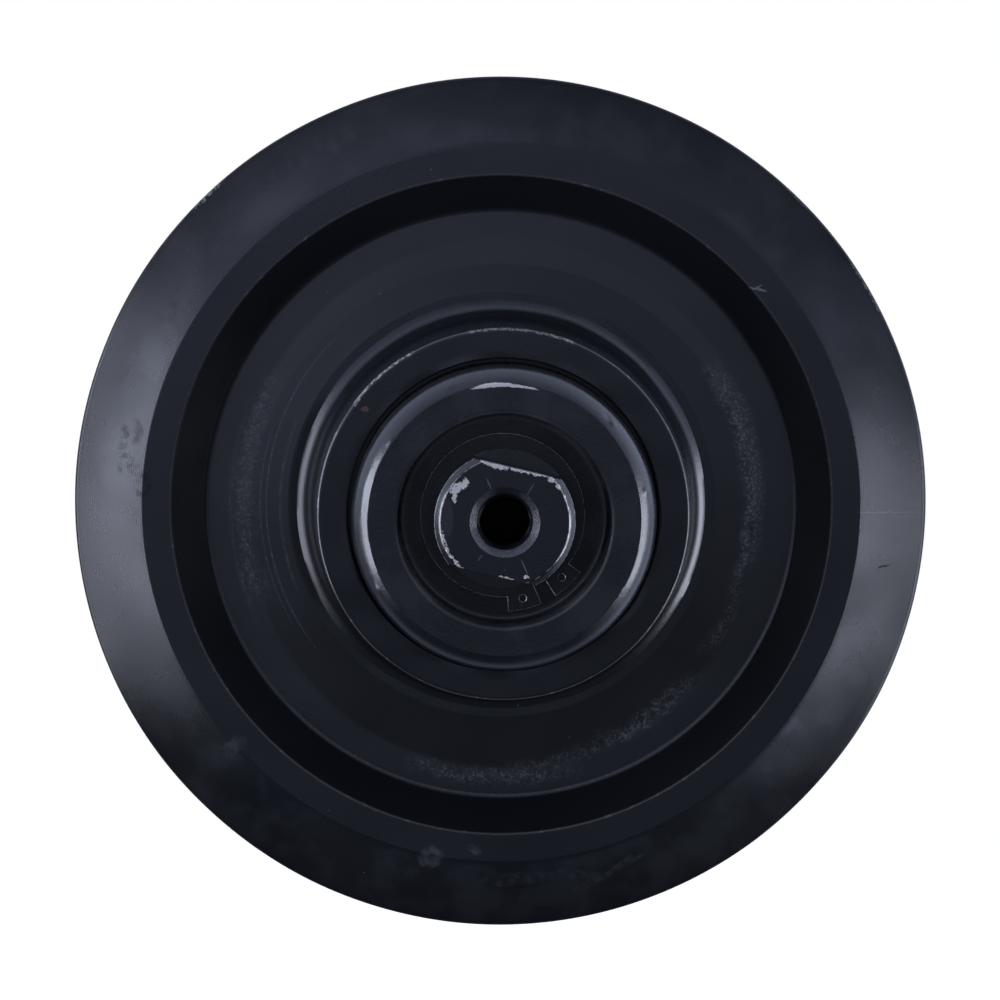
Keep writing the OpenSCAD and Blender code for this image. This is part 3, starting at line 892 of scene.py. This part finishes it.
class IDLER_OT_wheel(Operator):
    """Turns the wheel casting from its section, with slow waves left in its outer skin"""

    bl_idname = "idler.wheel"
    bl_label = "Wheel casting"

    SEAL_BORE_R, SEAL_FLOOR_Y = 48.03 * MM, 48 * MM
    FLANGE_R, FLANGE_Y = 42.85 * MM, 44 * MM
    BUSH_R, OIL_ROOM_R, OIL_Y = 34.06 * MM, 38.06 * MM, 8 * MM
    COLUMNS, STEP, SEED = 300, 4.5 * MM, 5

    def execute(self, context):
        sizes = context.scene.idler_wheel
        radii = wheel_radii()
        band_y = sizes.rim_y - sizes.dish_depth
        web_y = band_y + sizes.web_rise
        foot_y = web_y - sizes.foot_cover
        hub_base = radii["hub_face"] + (sizes.hub_y - foot_y) * math.tan(sizes.hub_draft)
        half = [
            (sizes.tread_r, sizes.tread_y, sizes.tread_edge),
            (radii["side_face"], sizes.rim_y, sizes.edge_break),
            (radii["rim_edge"], sizes.rim_y, sizes.edge_break),
            (radii["web_edge"], band_y, sizes.web_fillet),
            (radii["web_edge"] - sizes.web_band_w, band_y + sizes.web_band_rise, sizes.web_bend),
            (hub_base + sizes.hub_ring, web_y),
            *cut_corner(hub_base, foot_y, sizes.hub_fillet, sizes.foot_cover, sizes.hub_draft, 1),
            (radii["hub_face"], sizes.hub_y, sizes.hub_edge),
            (radii["mouth"], sizes.hub_y, sizes.edge_break),
            (radii["mouth"], sizes.mouth_y),
            (self.SEAL_BORE_R, sizes.mouth_y),
            (self.SEAL_BORE_R, self.SEAL_FLOOR_Y),
            (self.FLANGE_R, self.SEAL_FLOOR_Y),
            (self.FLANGE_R, self.FLANGE_Y),
            (self.BUSH_R, self.FLANGE_Y),
            (self.BUSH_R, self.OIL_Y),
            (self.OIL_ROOM_R, self.OIL_Y),
        ]
        section = outline(both_sides(half), self.STEP)
        turn = even_turns(self.COLUMNS)
        skin = section[:, 0] > radii["mouth"] + sizes.edge_break
        lift = waves(turn, section.sum(axis=1), sizes.ripple, self.SEED) * skin
        piece = solid("wheel_casting", turned_skin(section, lift, turn))
        place_piece(piece, "wheel", "wheel_paint", "wheel_body", rim_paint(), web_paint())
        inside = section[:, 0] <= radii["web_edge"]
        web_rows = inside & np.roll(inside, -1)
        piece.data.polygons.foreach_set("material_index", np.tile(web_rows, self.COLUMNS).astype(np.int32))
        return {"FINISHED"}


class IDLER_OT_collars(Operator):
    """Turns the two seal collars, with small runs and bumps in the paint of the front one's bead"""

    bl_idname = "idler.collars"
    bl_label = "Collars"

    NOSE_R, NOSE_Y = 35.03 * MM, 48.25 * MM
    SEAL_BORE_R, SEAL_Y, SKIRT_Y = 48.03 * MM, 74 * MM, 63 * MM
    BORE_R, GROOVE_R = 30.03 * MM, 33.4 * MM
    GROOVE_Y, GROOVE_W = 80.2 * MM, 4.6 * MM
    BEAD_FALL, FALL_RUN = 0.27 * MM, 1.5 * MM
    SKIRT_EDGE, RECESS_EDGE = 1 * MM, 2 * MM
    RIPPLE, SEED = 0.02 * MM, 8
    COLUMNS, STEP, ARC_STEP, MERGE = 360, 4 * MM, math.radians(3), 0.01 * MM

    def section(self, sizes):
        """The closed outline of a collar on the rear side, and which of its points are on the bead.

        Just outside the face the bead falls away faster than its arc: by the fall x (1 - e ^ (-way / run)).
        """
        crest_y = sizes.face_y + sizes.face_cut
        crease, corner = cut_corner(sizes.collar_r, crest_y, sizes.bead_r, sizes.face_cut, 0, -1)
        points = outline([
            (self.BORE_R, self.NOSE_Y),
            (self.NOSE_R, self.NOSE_Y),
            (self.NOSE_R, self.SEAL_Y),
            (self.SEAL_BORE_R, self.SEAL_Y),
            (self.SEAL_BORE_R, self.SKIRT_Y),
            (sizes.collar_r, self.SKIRT_Y, self.SKIRT_EDGE),
            corner,
            crease,
            (sizes.recess_r, sizes.face_y, self.RECESS_EDGE),
            (sizes.recess_r, sizes.recess_y, self.RECESS_EDGE),
            (self.BORE_R, sizes.recess_y),
            (self.BORE_R, self.GROOVE_Y + self.GROOVE_W),
            (self.GROOVE_R, self.GROOVE_Y + self.GROOVE_W),
            (self.GROOVE_R, self.GROOVE_Y),
            (self.BORE_R, self.GROOVE_Y),
        ], self.STEP, arc_step=self.ARC_STEP)
        bead = (points[:, 1] > sizes.face_y - sizes.bead_r) & (points[:, 0] > crease[0] - self.MERGE)
        way = np.maximum(points[:, 0] - crease[0], 0)
        points[:, 1] -= bead * self.BEAD_FALL * (1 - np.exp(-way / self.FALL_RUN))
        return points, bead

    def execute(self, context):
        material = collar_paint()
        turn = even_turns(self.COLUMNS)
        section, bead = self.section(context.scene.idler_collar)
        for end, side in ENDS.items():
            lift = waves(turn, section.sum(axis=1), self.RIPPLE, self.SEED + side)
            if end == "front":
                lift = lift + bumps(turn, section, BEAD_BUMPS)
            piece = solid(f"{end}_seal_collar", turned_skin(section, lift * bead, turn, side))
            place_piece(piece, "axle", "collar_paint", f"{end}_collar", material)
        return {"FINISHED"}


class IDLER_OT_axle(Operator):
    """Works out the axle: flats clip its round end, and a right-hand thread winds down both holes"""

    bl_idname = "idler.axle"
    bl_label = "Axle"

    PLUG_R, PLUG_Y = 6 * MM, 69 * MM
    GALLERY_R = 3 * MM
    EDGE, LEDGE_RUN = 0.35 * MM, 0.05 * MM
    COLUMNS, ROWS_A_PITCH = 288, 8
    GROOVE_SLOPE, CREST = 1.5, 0.3
    FACE_STEPS = (0.34, 0.67, 1.0)
    EDGE_STEPS = ((1, 0), (0.35, 0.1), (-0.5, 0.5))
    CHAMFER_STEPS = (0.35, 0.6, 0.8, 0.92, 1.0)
    FLAT_ROWS = 6

    def turns(self, sizes):
        """Angles round the axle: even steps, and the corners where a flat meets the end and the round."""
        across = math.pi / 2 - sizes.flats_turn
        corners = [
            across + side + way * math.acos(sizes.flats_half / radius)
            for side in (0, math.pi)
            for way in (-1, 1)
            for radius in (sizes.axle_r, sizes.axle_r - sizes.chamfer)
        ]
        return np.union1d(np.remainder(corners, math.tau), even_turns(self.COLUMNS))

    def tapped_wall(self, sizes, turn, side):
        """Hole's wall from its floor to its mouth: the thread's flanked groove, or the countersink if wider.

        The groove's depth is a clipped triangle wave of place / pitch + turn / full turn.
        """
        rows = round(sizes.tap_depth / sizes.pitch * self.ROWS_A_PITCH)
        at = sizes.axle_y - sizes.tap_depth * np.linspace(1, 0, rows)
        phase = np.remainder(side * at / sizes.pitch + turn[:, None] / math.tau, 1)
        groove = np.clip(np.abs(2 * phase - 1) * self.GROOVE_SLOPE - self.CREST, 0, 1) * sizes.thread_h
        run_in = np.clip((at - at[0]) / (2 * sizes.pitch), 0, 1)
        cone = sizes.mouth_r - (sizes.axle_y - at)
        return np.maximum(sizes.tap_r + groove * run_in, cone), at

    def end_rows(self, sizes, turn, side):
        """Radii and places from a hole's floor, out of its mouth and over the end, to the plain shaft."""
        across = math.pi / 2 - sizes.flats_turn
        flat = sizes.flats_half / np.maximum(np.abs(np.cos(turn - across)), 1e-6)
        ones = np.ones_like(turn)
        wall, wall_at = self.tapped_wall(sizes, turn, side)
        rows = list(zip(wall.T, wall_at))
        rim = np.minimum(sizes.axle_r - sizes.chamfer, flat)
        for step in self.FACE_STEPS:
            rows.append((sizes.mouth_r + (rim - 2 * self.EDGE - sizes.mouth_r) * step, sizes.axle_y))
        for inward, down in self.EDGE_STEPS:
            rows.append((np.minimum(rim - inward * self.EDGE, flat - self.EDGE * (1 - down)),
                         sizes.axle_y - down * self.EDGE))
        for step in self.CHAMFER_STEPS:
            rows.append((np.minimum(sizes.axle_r - sizes.chamfer * (1 - step), flat),
                         sizes.axle_y - sizes.chamfer * step))
        rows.append((np.minimum(sizes.axle_r, flat), sizes.axle_y - sizes.chamfer - self.EDGE))
        ledge = sizes.axle_y - sizes.flats_len
        for at in np.linspace(sizes.axle_y - sizes.chamfer, ledge, self.FLAT_ROWS)[1:]:
            rows.append((np.minimum(sizes.axle_r, flat), at))
        groove_end = sizes.groove_y + sizes.groove_w
        floor_r = sizes.axle_r - sizes.groove_h
        rows.append((sizes.axle_r * ones, ledge - self.LEDGE_RUN))
        rows += [(sizes.axle_r * ones, groove_end), (floor_r * ones, groove_end)]
        rows += [(floor_r * ones, sizes.groove_y), (sizes.axle_r * ones, sizes.groove_y)]
        rows.append((sizes.axle_r * ones, sizes.groove_y / 2))
        return rows

    def execute(self, context):
        sizes = context.scene.idler_axle
        turn = self.turns(sizes)
        ones = np.ones_like(turn)
        floor = sizes.axle_y - sizes.tap_depth
        front = [(self.PLUG_R * ones, floor)] + self.end_rows(sizes, turn, -1)
        rear = [
            (self.GALLERY_R * ones, 0), (self.GALLERY_R * ones, self.PLUG_Y),
            (self.PLUG_R * ones, self.PLUG_Y), (self.PLUG_R * ones, floor),
        ] + self.end_rows(sizes, turn, 1)
        rows = [(radius, -at) for radius, at in front] + rear[::-1]
        radius = np.stack([row[0] for row in rows], axis=-1)
        at = np.array([row[1] for row in rows])
        points = turned(radius, at, turn)
        piece = solid("idler_axle", points, [(0, -floor, 0), (0, 0, 0)])
        place_piece(piece, "axle", "axle_paint", "axle", axle_paint())
        return {"FINISHED"}


class IDLER_OT_circlips(Operator):
    """Copies the two circlips and breaks their stamped edges with a small bevel"""

    bl_idname = "idler.circlips"
    bl_label = "Circlips"

    MERGE, FLAT_ANGLE = 0.002 * MM, math.radians(1)
    BEVEL, BEVEL_ANGLE = 0.55 * MM, math.radians(40)
    FACE_RUBBED, EDGE_RUBBED = 0.004, 0.9

    def execute(self, context):
        face_paint = clip_paint("clip_paint", self.FACE_RUBBED)
        edge_paint = clip_paint("clip_edge", self.EDGE_RUBBED)
        for end in ENDS:
            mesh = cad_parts[f"{end}_circlip"].data.copy()
            mesh.name = f"{end}_retaining_ring"
            shape = bmesh.new()
            shape.from_mesh(mesh)
            bmesh.ops.remove_doubles(shape, verts=shape.verts, dist=self.MERGE)
            bmesh.ops.dissolve_limit(
                shape, angle_limit=self.FLAT_ANGLE, verts=shape.verts, edges=shape.edges
            )
            shape.to_mesh(mesh)
            shape.free()
            smooth(mesh)
            piece = new_object(mesh.name, mesh)
            bevel = piece.modifiers.new("stamped_edge", "BEVEL")
            bevel.width = self.BEVEL
            bevel.segments = 2
            bevel.limit_method = "ANGLE"
            bevel.angle_limit = self.BEVEL_ANGLE
            bevel.material = 1
            place_piece(piece, "axle", "clip_paint", f"{end}_circlip", face_paint, edge_paint)
        return {"FINISHED"}


class IDLER_OT_inner_pieces(Operator):
    """Gives the bushings, seal rings, torics, O-rings and plug their own metals and rubber"""

    bl_idname = "idler.inner_pieces"
    bl_label = "Inner pieces"

    def execute(self, context):
        finish = context.scene.idler_finish
        finishes = {
            "bushing": ground_metal("bush_bronze", finish.bronze, line_pitch=0.5 * MM, roughness=0.3),
            "seal_ring": ground_metal("seal_iron", finish.iron, line_pitch=0.3 * MM, roughness=0.24),
            "oil_plug": ground_metal("plug_steel", finish.steel, line_pitch=0.4 * MM, roughness=0.32),
        }
        rubber = seal_rubber()
        finishes |= {"toric": rubber, "o_ring": rubber}
        for name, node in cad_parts.items():
            for ending, material in finishes.items():
                if name.endswith(ending):
                    node.material_slots[0].material = material
        return {"FINISHED"}


def camera_rays(tone):
    """1 for rays that come straight from the camera."""
    return tone.node("ShaderNodeLightPath", {}, {}, "Is Camera Ray")


def room_light(strength):
    """The room's cool light at a strength that changes from place to place."""
    scale = {0: ROOM_TINT[:3], "Scale": strength}
    return strength.node("ShaderNodeVectorMath", {"operation": "SCALE"}, scale)


def studio_world():
    """White behind the object; to all other rays a room that is dim in front and below, lighter elsewhere."""
    world = bpy.data.worlds.new("idler_studio")
    world.use_nodes = True
    world.node_tree.nodes.clear()
    tone = Tone(world.node_tree)
    towards = tone.node("ShaderNodeTexCoord", {}, {}, "Generated")
    across = tone.node("ShaderNodeSeparateXYZ", {}, {0: towards}, "X")
    ahead, up = across.beside("Y"), across.beside("Z")
    behind = rise(ahead, -0.7, -0.1) * rise(up, -0.25, 0.2)
    above = rise(up, -0.14, 0.05) * (1 - 0.45 * rise(up, 0.15, 0.5))
    left = rise(across, 0.08, -0.22) * 0.65
    right = rise(across, -0.05, 0.3) * 0.15
    front = above * (0.25 + left + right) * (1 - rise(ahead, -0.7, -0.1))
    sides = rise(across, -0.35, -0.95) * 0.3 + rise(across, 0.35, 0.95) * 0.8
    room = 0.13 + front + behind + sides * rise(ahead, -0.6, 0.0)
    seen = blend(camera_rays(tone), room_light(room), WHITE)
    light = tone.node("ShaderNodeBackground", {}, {"Color": seen, "Strength": 1.0})
    tone.node("ShaderNodeOutputWorld", {}, {"Surface": light}, None)
    return world


def floor_finish(pale=0.95, glow=1.15, glow_share=0.75):
    """A pale floor that shows the shadow: mostly its own white to the camera.

    To other rays it is dim, and lighter at the right and behind.
    """
    material, tone = new_material("pale_floor")
    matte = tone.node("ShaderNodeBsdfDiffuse", {}, {"Color": (pale, pale, pale, 1)})
    white = tone.node("ShaderNodeEmission", {}, {"Color": WHITE, "Strength": glow})
    seen = tone.node("ShaderNodeMixShader", {}, {0: glow_share, 1: matte, 2: white})
    here = place(tone)
    lit = 0.1 + rise(here.x, 0.6, 1.5) * rise(here.y, -0.6, 0.2) + 0.3 * rise(here.y, -0.1, 0.15)
    dim = tone.node("ShaderNodeEmission", {}, {"Color": room_light(lit), "Strength": 1.0})
    both = tone.node("ShaderNodeMixShader", {}, {0: camera_rays(tone), 1: dim, 2: seen})
    tone.node("ShaderNodeOutputMaterial", {}, {"Surface": both}, None)
    return material


def lamp(name, azimuth, low, high, radiance, tint=(0.93, 0.98, 1.18)):
    """A soft panel at an angle off the axle's front, between two heights, that faces the axle.

    A panel's radiance is its power divided by four times its area.
    """
    studio = bpy.context.scene.idler_studio
    towards = Vector((math.sin(azimuth), -math.cos(azimuth), 0))
    data = bpy.data.lights.new(name, "AREA")
    data.shape = "RECTANGLE"
    data.size, data.size_y = studio.lamp_w, high - low
    data.energy = radiance * 4 * studio.lamp_w * (high - low)
    data.color = tint
    panel = new_object(name, data)
    panel.location = towards * studio.lamp_distance + Vector((0, 0, (low + high) / 2))
    panel.rotation_euler = (-towards).to_track_quat("-Z", "Y").to_euler()
    panel.visible_camera = False


class IDLER_OT_stage(Operator):
    """Sets the floor, the room, the two side lamps and the camera"""

    bl_idname = "idler.stage"
    bl_label = "Stage"

    FLOOR_HALF = 6.0
    AIM = Vector((0, -0.017, 0))

    def floor(self, context):
        """A square of two parameters, each from -1 to 1, at the floor's height."""
        height = CAD_BOX[0][2] - context.scene.idler_studio.floor_drop
        side = np.linspace(-self.FLOOR_HALF, self.FLOOR_HALF, 3)
        x, y = np.meshgrid(side, side, indexing="ij")
        points = np.stack([x, y, np.full_like(x, height)], axis=-1).reshape(-1, 3)
        corner = (np.arange(2)[:, None] * 3 + np.arange(2)).ravel()
        faces = np.stack([corner, corner + 3, corner + 4, corner + 1], axis=-1)
        mesh = bpy.data.meshes.new("pale_floor")
        mesh.from_pydata(points.tolist(), [], faces.tolist())
        mesh.materials.append(floor_finish())
        floor = new_object("pale_floor", mesh)

    def camera(self, context):
        """The camera at the photograph's angle and distance."""
        studio = context.scene.idler_studio
        data = bpy.data.cameras.new("idler_camera")
        data.lens = studio.lens
        data.shift_x, data.shift_y = studio.shift_x, studio.shift_y
        camera = new_object("idler_camera", data)
        flat = math.cos(studio.elevation)
        back = Vector((math.sin(studio.azimuth) * flat, -math.cos(studio.azimuth) * flat,
                       math.sin(studio.elevation)))
        camera.location = self.AIM + back * studio.distance
        camera.rotation_euler = (-back).to_track_quat("-Z", "Y").to_euler()
        context.scene.camera = camera

    def execute(self, context):
        studio = context.scene.idler_studio
        context.scene.world = studio_world()
        lamp("left_panel", -studio.left_azimuth, low=-0.75, high=0.6, radiance=8.0)
        lamp("right_panel", studio.right_azimuth, low=-1.0, high=0.15, radiance=7.6)
        self.floor(context)
        self.camera(context)
        context.scene.view_settings.view_transform = "Standard"
        return {"FINISHED"}


class IDLER_PT_panel(Panel):
    """Lists the operators that build the idler"""

    bl_idname = "IDLER_PT_panel"
    bl_label = "Track idler wheel"
    bl_space_type = "VIEW_3D"
    bl_region_type = "UI"
    bl_category = "Idler"

    def draw(self, context):
        for operator in OPERATORS:
            self.layout.operator(operator.bl_idname)
        for group in GROUPS:
            settings = getattr(context.scene, group)
            box = self.layout.box()
            for name in settings.bl_rna.properties.keys():
                if name not in {"rna_type", "name"}:
                    box.prop(settings, name)


OPERATORS = (
    IDLER_OT_stage, IDLER_OT_wheel, IDLER_OT_axle, IDLER_OT_collars, IDLER_OT_circlips, IDLER_OT_inner_pieces,
)
GROUPS = {
    "idler_wheel": IdlerWheelSizes, "idler_collar": IdlerCollarSizes, "idler_axle": IdlerAxleSizes,
    "idler_finish": IdlerFinish, "idler_studio": IdlerStudio,
}


def register():
    """Registers the settings, the operators and the panel."""
    for name, group in GROUPS.items():
        bpy.utils.register_class(group)
        setattr(bpy.types.Scene, name, PointerProperty(type=group))
    for operator in (*OPERATORS, IDLER_PT_panel):
        bpy.utils.register_class(operator)


def unregister():
    """Takes away what register() added."""
    for operator in (IDLER_PT_panel, *OPERATORS):
        bpy.utils.unregister_class(operator)
    for name, group in GROUPS.items():
        delattr(bpy.types.Scene, name)
        bpy.utils.unregister_class(group)


def main():
    """Builds everything in order."""
    register()
    bpy.ops.idler.stage()
    bpy.ops.idler.wheel()
    bpy.ops.idler.axle()
    bpy.ops.idler.collars()
    bpy.ops.idler.circlips()
    bpy.ops.idler.inner_pieces()


if __name__ == "__main__":
    main()
